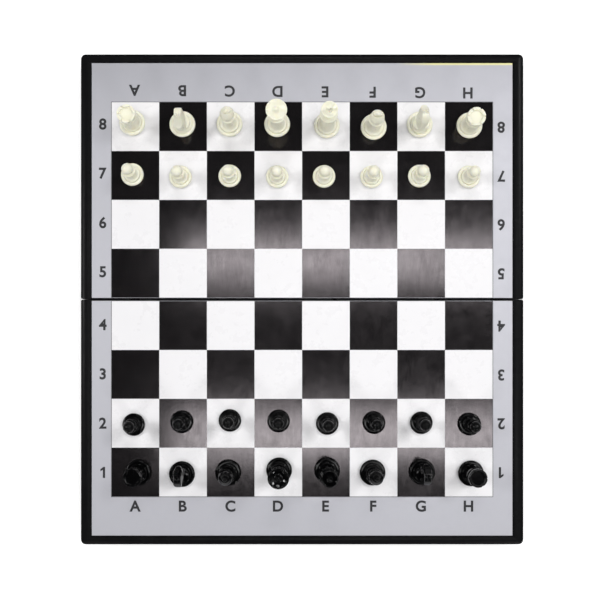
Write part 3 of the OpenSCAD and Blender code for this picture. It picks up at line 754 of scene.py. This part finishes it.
def king_outline():
    tall, above_rim, neck, crown = 46, 5.2, 3, 5.2
    top = tall - above_rim
    low = top - 12.5
    line = foot(OFFICER, neck, low) + collar(neck, 5.6, low, 1.4) + collar(neck, 4.4, low + 1.4, 1)
    line += [(neck, low + 3.2)] + flare((neck, low + 3.2), (crown - 0.3, top - 1.2), 12)
    line += arc((crown - 0.4, top - 0.4), 0.4, 0, 90, 5)
    line += curve((crown - 0.6, top), (3.73, top - 0.41), (2.87, top - 0.77), (2, top - 1.09), 12)
    line += curve((1.9, top - 1.09), (1.75, top - 0.8), (1.62, top - 0.3), (1.55, top + 0.1), 5)
    return line + curve((1.5, top + 0.3), (1.3, top + 0.8), (0.8, top + 1), (0, top + 1.05), 8)


CROSS = [(-1.4, 41.4), (1.4, 41.4), (0.53, 43.85), (1.9, 43.35), (1.9, 45.4), (0.53, 44.9), (1.05, 46)]
CROSS += [(-1.05, 46), (-0.53, 44.9), (-1.9, 45.4), (-1.9, 43.35), (-0.53, 43.85)]
CROSS_THICKNESS = 1.5

king = turned("king_pattern", king_outline())
cross = slab("cross", CROSS, (0, CROSS_THICKNESS * MM, 0), upright(-CROSS_THICKNESS / 2))
use_modifier(cross, "BEVEL", width=0.22 * MM, segments=3, limit_method="ANGLE", angle_limit=math.radians(20))
king = smooth(joined("king_pattern", [king, cross]))
print("king:", len(king.data.polygons), "faces")

# %% [markdown]
# The knight is the one man that is carved, not turned. A head could be pushed and pulled out of a ball,
# but its three views would then be hard to hold to. A carver saws a block along its side view, its
# front view and its plan, and then rounds it. The same is done here: three drawn slabs are kept only
# where all of them meet.

# %% Knight: the sawn block
CREST = ((-1.8, 28.4), (-4.6, 26.6), (-7.4, 18.5), (-5.4, 10))
BLOCK_HALF = 10
BLOCK_FOOT, BLOCK_TOP = 1, 32


def knight_side():
    line = [(-4.6, 7), (4.7, 7)] + curve((4.9, 10), (5.2, 13), (3.2, 15.5), (2.2, 17.6), 8)
    line += [(3.4, 18.2), (5.2, 17.4)] + arc((6.5, 18.6), 1.3, -70, 0, 5) + [(7.1, 19.4)]
    line += arc((6.4, 20.4), 1.3, -10, 80, 6) + curve((6.1, 22.1), (4.8, 24), (3.5, 25.8), (2.5, 27.3), 6)
    line += [(2.2, 28.6), (1.3, 31), (0, 28.8), (-0.8, 28.8)]
    return line + curve(*CREST, 14)


def knight_front():
    line = [(3.5, 7)] + curve((3.5, 11), (3.6, 18.6), (2.8, 23), (2.45, 26.4), 8)
    line += curve((2.45, 26.6), (2.35, 28.2), (1.9, 29.4), (1.75, 30.4), 6) + [(1.4, 31), (0.5, 31)]
    return line + [(-x, z) for x, z in reversed(line)]


def knight_plan():
    line = curve((0.2, -6.3), (1.7, -6.2), (2.5, -4.4), (2.8, -1.6), 10)
    line += curve((3.3, 1.2), (3.3, 4.2), (2.5, 6.4), (0.4, 7.8), 9)
    return line + [(-x, y) for x, y in reversed(line)]


head = slab(
    "knight_head", knight_side(), (2 * BLOCK_HALF * MM, 0, 0),
    lambda p: Vector((-BLOCK_HALF * MM, p[0] * MM, p[1] * MM)),
)
front = slab("front", knight_front(), (0, -2 * BLOCK_HALF * MM, 0), upright(BLOCK_HALF))
plan = slab("plan", knight_plan(), (0, 0, (BLOCK_TOP - BLOCK_FOOT) * MM), flat(BLOCK_FOOT))
for view in (front, plan):
    use_modifier(head, "BOOLEAN", operation="INTERSECT", solver="EXACT", object=view)
    remove(view)
print("sawn head:", len(head.data.polygons), "faces")

# %% [markdown]
# A sawn block has no cheeks. They could be carved by lowering all the rest, but it is quicker to lay
# cheeks, brows, eyes and nose on as small domes. A fine voxel remesh and some smoothing then run
# them together like wax.

# %% Knight: the rounded head
def dome(place, size, turn=0):
    """A small egg-shaped lump of wax."""
    clear_selection()
    bpy.ops.mesh.primitive_uv_sphere_add(
        segments=20, ring_count=12, radius=1, location=[c * MM for c in place], rotation=(turn, 0, 0)
    )
    lump = bpy.context.object
    lump.scale = [s * MM for s in size]
    bpy.ops.object.transform_apply(location=True, rotation=True, scale=True)
    return lump


BROW_TURN = -0.85

lumps = [head]
for side in (-1, 1):
    cheek = dome((side * 1.95, 3.0, 20.6), (1.55, 2.5, 2.7))
    brow = dome((side * 2.0, 2.9, 25.5), (0.75, 1.5, 0.55), BROW_TURN)
    eye = dome((side * 2.2, 3.0, 24.5), (0.62, 0.72, 0.62))
    nose = dome((side * 1.15, 6.7, 20.9), (0.8, 0.8, 0.75))
    lumps += [cheek, brow, eye, nose]
head = joined("knight_head", lumps)
use_modifier(head, "REMESH", mode="VOXEL", voxel_size=0.3 * MM)
use_modifier(head, "SMOOTH", factor=0.5, iterations=5)
print("rounded head:", len(head.data.polygons), "faces")

# %% [markdown]
# The mouth, the nostrils, the gap between the ears and the locks of the mane are cuts. Each lock has one
# bar across the crest of the neck and one along each side of it. Cut as they are, they would look sawn,
# so one more light remesh softens them. Last, the head is set on a turned foot.

# %% Knight: the cuts and the foot
# Places along the crest are shares of its length. A neck width is measured from the middle.
CREST_STEPS = 40
LOCKS_START, LOCK_STEP = 0.14, 0.095
LOCK_LIE = math.radians(52)
LOCK_FLARE = math.radians(16)
LOCK_REACH = 2.3
NECK_WIDTHS = (2.3, 2.6, 2.75, 2.65, 2.5, 2.4, 2.35, 2.3, 2.3)
MOUTH_TURN = 0.12


def crest(share):
    """A point on the crest of the neck, and the slope there, from the poll down to the withers."""
    line = curve(*CREST, CREST_STEPS)
    at = min(int(share * CREST_STEPS), CREST_STEPS - 1)
    here, there = line[at], line[at + 1]
    return here, math.atan2(there[1] - here[1], there[0] - here[0])


ear_gap = slab("ear_gap", [(0, 28.2), (1.2, 32), (-1.2, 32)], (0, 12 * MM, 0), upright(-4))
mouth = cutting_bar((9, 3.4, 0.4), (0, 6.9, 19.45), (MOUTH_TURN, 0, 0))
nostrils = [dome((side * 1.75, 7.2, 20.95), (0.5, 0.42, 0.36)) for side in (-1, 1)]
cutters = [ear_gap, mouth, *nostrils]
for i, wide in enumerate(NECK_WIDTHS):
    (y, z), slope = crest(LOCKS_START + LOCK_STEP * i)
    lie = slope + LOCK_LIE
    cutters.append(cutting_bar((9, 1.3, 0.36), (0, y, z), (lie, 0, 0)))
    low_y, low_z = y - LOCK_REACH * math.cos(lie), z - LOCK_REACH * math.sin(lie)
    for side in (-1, 1):
        cutters.append(cutting_bar(
            (1.2, 3.6, 0.42), (side * (wide + 0.35), low_y, low_z), (lie, 0, side * LOCK_FLARE)
        ))
cut_away(head, joined("carving_tools", cutters), 0)
use_modifier(head, "REMESH", mode="VOXEL", voxel_size=0.22 * MM)
use_modifier(head, "SMOOTH", factor=0.5, iterations=2)
hollow = cove((OFFICER - BEAD - STEP / 2, FOOT_TOP), (5.2, 8), 10)
knight_foot = turned("knight_foot", foot_edge(OFFICER) + hollow + [(4.6, 8.25), (3, 8.3), (0, 8.3)])
knight = smooth(joined("knight_pattern", [knight_foot, head]), 60)
print("knight:", len(knight.data.polygons), "faces")

# %% [markdown]
# The men are moulded in two plastics: a warm ivory that lets a little light in, and a deep glossy black.
# Ivory that is painted one flat colour looks like chalk. A little light is let under its surface, and a
# slow noise warms it here and there. The black gets its life from shine alone, so its roughness varies.

# %% Ivory and black plastic for the men
ivory, tree, shader = node_material("ivory_moulded_plastic")
warm = blend_colours(tree, noise(tree, 180, 3), (0.845, 0.83, 0.68), (0.885, 0.87, 0.725))
link(tree, warm, shader.inputs["Base Color"])
link(tree, patchy(tree, noise(tree, 500, 4), 0.26, 0.38), shader.inputs["Roughness"])
shader.inputs["Subsurface Weight"].default_value = 0.25
shader.inputs["Subsurface Radius"].default_value = (1.0, 0.85, 0.5)
shader.inputs["Subsurface Scale"].default_value = 0.001
grain(tree, shader, noise(tree, 1800, 3), 0.00001, 0.35)

black, tree, shader = node_material("black_moulded_plastic")
deep = blend_colours(tree, noise(tree, 180, 3), (0.0008, 0.0008, 0.0010), (0.0016, 0.0016, 0.0019))
link(tree, deep, shader.inputs["Base Color"])
link(tree, patchy(tree, noise(tree, 420, 4), 0.05, 0.10), shader.inputs["Roughness"])
shader.inputs["Specular IOR Level"].default_value = 0.14
grain(tree, shader, noise(tree, 1500, 3), 0.000003, 0.2)

green_felt, tree, shader = node_material("dark_green_felt")
fibres = noise(tree, 3000, 6, 0.8)
felt_green = blend_colours(tree, fibres, (0.010, 0.040, 0.022), (0.025, 0.085, 0.050))
link(tree, felt_green, shader.inputs["Base Color"])
shader.inputs["Roughness"].default_value = 0.95
shader.inputs["Sheen Weight"].default_value = 0.4
shader.inputs["Sheen Roughness"].default_value = 0.5
grain(tree, shader, fibres, 0.0001, 0.8)
print("finishes:", ivory.name, black.name, green_felt.name)

# %% [markdown]
# Under each foot a round felt pad is glued. It is punched from sheet, so its edges are soft. A bare
# cylinder would look like card, so a bevel rounds them. Two sizes are needed, for pawns and for officers.

# %% Felt pads
PAD_INSET = 0.7
OFF_THE_FOIL = 0.02
PAD_ROUNDING = 0.14


def felt_pad(name, wide):
    clear_selection()
    bpy.ops.mesh.primitive_cylinder_add(
        vertices=48, radius=wide * MM, depth=(FELT - OFF_THE_FOIL) * MM,
        location=(0, 0, (FELT + OFF_THE_FOIL) / 2 * MM),
    )
    pad = bpy.context.object
    pad.name = name
    bpy.ops.object.transform_apply(location=True, rotation=True, scale=True)
    bpy.ops.object.mode_set(mode="EDIT")
    bpy.ops.mesh.select_all(action="SELECT")
    bpy.ops.mesh.bevel(offset=PAD_ROUNDING * MM, segments=3)
    bpy.ops.object.mode_set(mode="OBJECT")
    return smooth(pad, 60)


officer_pad = felt_pad("officer_pad", OFFICER - PAD_INSET)
pawn_pad = felt_pad("pawn_pad", PAWN - PAD_INSET)
print("pads:", officer_pad.name, pawn_pad.name)

# %% [markdown]
# All patterns are ready, so the men can be set up. A man's measured part says where his foot stands,
# and its name says who he is. Each copy has a mesh of its own, with its place in the mesh, rides on
# its own body and stands for its measured part. Copies that share one mesh would be lighter, but their
# places could then not be in the mesh. All the men face the far side, except one ivory knight.

# %% Setting up the men
PATTERNS = {"pawn": pawn, "rook": rook, "knight": knight, "bishop": bishop, "queen": queen, "king": king}
FACES_BACK = ("ivory_knight_b8",)


def copy_in_place(pattern, name, place, material):
    """A copy with a mesh of its own, its place put in that mesh."""
    piece = pattern.copy()
    piece.data = pattern.data.copy()
    piece.name = piece.data.name = name
    bpy.context.scene.collection.objects.link(piece)
    piece.data.transform(place)
    piece.data.materials.clear()
    piece.data.materials.append(material)
    return piece


men = [name for name in nodes if name.startswith(("ivory_", "black_"))]
for name in men:
    side, kind, square = name.split("_")
    low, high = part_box(name)
    turn = Matrix.Rotation(math.pi if name in FACES_BACK else 0, 4, "Z")
    place = Matrix.Translation(((low.x + high.x) / 2, (low.y + high.y) / 2, low.z)) @ turn
    man = copy_in_place(PATTERNS[kind], f"{kind}_{square}", place, ivory if side == "ivory" else black)
    pad = copy_in_place(pawn_pad if kind == "pawn" else officer_pad, f"felt_{square}", place, green_felt)
    for piece, finish in ((man, side + "_plastic"), (pad, "felt")):
        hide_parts(name)
        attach(piece, name)
for pattern in (*PATTERNS.values(), officer_pad, pawn_pad):
    remove(pattern)
print("men on the board:", len(men))

# %% [markdown]
# The letters A to H and the numbers 1 to 8 are printed on the film in dark grey, once for each player:
# those of the far side and of the right side stand upside down. Print could be painted by a material,
# but real letter shapes are crisp at any distance. Each is a text object, made a mesh only a hundredth
# of a millimetre thick and laid on the film. Only the 1 is drawn, because the font's own has no flag.

# %% Ink and letters
FILM_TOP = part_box("far_face_film")[1].z
INK_THICKNESS = 0.01
LETTER_HEIGHT = 7.1
FONT_CAPITAL = 0.729
STROKE_SPREAD = 0.3
ABOVE_FILM = 0.008
ONE = [(0, -3.6), (1.5, -3.6), (1.5, 3.6), (0.4, 3.6), (-1.6, 2.1), (-1.6, 0.7), (0, 1.6)]


def ink(name, first, second):
    material, tree, shader = node_material(name)
    link(tree, blend_colours(tree, noise(tree, 900, 4), first, second), shader.inputs["Base Color"])
    shader.inputs["Roughness"].default_value = 0.55
    return material


def printed(letter, x, y, turn):
    """A letter or a number with its middle at x, y, in millimetres."""
    clear_selection()
    half = INK_THICKNESS / 2
    if letter == "1":
        word = slab("one", ONE, (0, 0, INK_THICKNESS * MM), flat(-half))
    else:
        bpy.ops.object.text_add(location=(0, 0, 0))
        word = bpy.context.object
        word.data.body = letter
        word.data.size = LETTER_HEIGHT * MM / FONT_CAPITAL
        word.data.extrude = half * MM
        word.data.offset = STROKE_SPREAD * MM
        bpy.ops.object.convert(target="MESH")
        word = bpy.context.object
    corners = [Vector(c) for c in word.bound_box]
    low = [min(c[i] for c in corners) for i in range(2)]
    high = [max(c[i] for c in corners) for i in range(2)]
    middle = Matrix.Translation((-(low[0] + high[0]) / 2, -(low[1] + high[1]) / 2, 0))
    place = Matrix.Translation((x * MM, y * MM, FILM_TOP + ABOVE_FILM * MM))
    word.matrix_world = place @ Matrix.Rotation(turn, 4, "Z") @ middle
    bpy.ops.object.transform_apply(location=True, rotation=True, scale=True)
    return word


dark_ink = ink("dark_grey_ink", (0.006, 0.006, 0.008), (0.014, 0.013, 0.017))
print("ink:", dark_ink.name)

# %% [markdown]
# A thin printed line frames the squares of each half. Four thin strips would meet in seams at the
# corners. One plane, inset by the line's width, with its middle taken out, has none.

# %% Frame line
LINE_WIDTH = 0.5
LINE_ABOVE_FILM = 0.002
LINE_GAP, LINE_GAP_AT_FOLD = 0.45, 0.1


def frame_line(name, low, high):
    """A thin printed line round a field: a sheet, inset, its middle taken out and its edge thickened."""
    clear_selection()
    middle = ((low[0] + high[0]) / 2, (low[1] + high[1]) / 2, FILM_TOP + LINE_ABOVE_FILM * MM)
    bpy.ops.mesh.primitive_plane_add(size=1, location=middle)
    line = bpy.context.object
    line.name = name
    line.scale = (high[0] - low[0], high[1] - low[1], 1)
    bpy.ops.object.transform_apply(location=True, rotation=True, scale=True)
    bpy.ops.object.mode_set(mode="EDIT")
    bpy.ops.mesh.select_all(action="SELECT")
    bpy.ops.mesh.inset(thickness=LINE_WIDTH * MM)
    bpy.ops.mesh.delete(type="FACE")
    bpy.ops.mesh.select_all(action="SELECT")
    bpy.ops.mesh.extrude_region_move(TRANSFORM_OT_translate={"value": (0, 0, INK_THICKNESS * MM)})
    bpy.ops.mesh.select_all(action="SELECT")
    bpy.ops.mesh.normals_make_consistent(inside=False)
    bpy.ops.object.mode_set(mode="OBJECT")
    return line


line_ink = ink("mid_grey_ink", (0.09, 0.09, 0.10), (0.13, 0.13, 0.14))
print("ink:", line_ink.name)

# %% [markdown]
# The print is not quite true to the squares: the top row slants a little and the left column is
# stretched. So the letters are laid out by a pitch of their own, with a small drift for each place.
# Each half has its own print and its own line, which ride on that half when the case is folded.

# %% Laying the print on both halves
FILE_PITCH, RANK_PITCH = 31, 31.8
MIDDLE_FILE, MIDDLE_RANK = 3.5, 4.5
HALF_SHIFT = 1.15
FAR_ROW, FAR_ROW_SLANT, FAR_ROW_NUDGE = 136.1, 0.25, -0.6
NEAR_ROW, NEAR_ROW_NUDGE = -134.6, -0.2
LEFT_COLUMN, LEFT_COLUMN_STRETCH, LEFT_COLUMN_NUDGE = -129.8, 0.27, 0.75
RIGHT_COLUMN, RIGHT_COLUMN_NUDGE = 129.6, -0.4
UPSIDE_DOWN = math.pi


def letter_row(side):
    row = []
    for f, letter in enumerate("ABCDEFGH"):
        x = (f - MIDDLE_FILE) * FILE_PITCH
        if side == "far":
            row.append(printed(letter, x + FAR_ROW_NUDGE, FAR_ROW - FAR_ROW_SLANT * f, UPSIDE_DOWN))
        else:
            row.append(printed(letter, x + NEAR_ROW_NUDGE, NEAR_ROW, 0))
    return row


def number_columns(side):
    first, shift = (5, HALF_SHIFT) if side == "far" else (1, -HALF_SHIFT)
    columns = []
    for rank in range(first, first + 4):
        steps = rank - MIDDLE_RANK
        y = shift + steps * RANK_PITCH
        left_y = y + LEFT_COLUMN_NUDGE + LEFT_COLUMN_STRETCH * steps
        columns.append(printed(str(rank), LEFT_COLUMN, left_y, 0))
        columns.append(printed(str(rank), RIGHT_COLUMN, y + RIGHT_COLUMN_NUDGE, UPSIDE_DOWN))
    return columns


def framed_field(side):
    """Two corners of the line round one half's squares, which runs closer to them at the fold."""
    squares = [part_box(side + kind) for kind in ("_light_squares", "_dark_squares")]
    low = [min(box[0][i] for box in squares) for i in range(2)]
    high = [max(box[1][i] for box in squares) for i in range(2)]
    near_gap, far_gap = LINE_GAP, LINE_GAP_AT_FOLD
    if side == "far":
        near_gap, far_gap = far_gap, near_gap
    near_corner = (low[0] - LINE_GAP * MM, low[1] - near_gap * MM)
    return near_corner, (high[0] + LINE_GAP * MM, high[1] + far_gap * MM)


for side in ("near", "far"):
    letters = joined(side + "_letters", letter_row(side) + number_columns(side))
    line = frame_line(side + "_frame_line", *framed_field(side))
    for piece, finish in ((letters, dark_ink), (line, line_ink)):
        piece.data.materials.clear()
        piece.data.materials.append(finish)
        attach(piece, side + "_half")
    print(letters.name, "and", line.name, "laid")
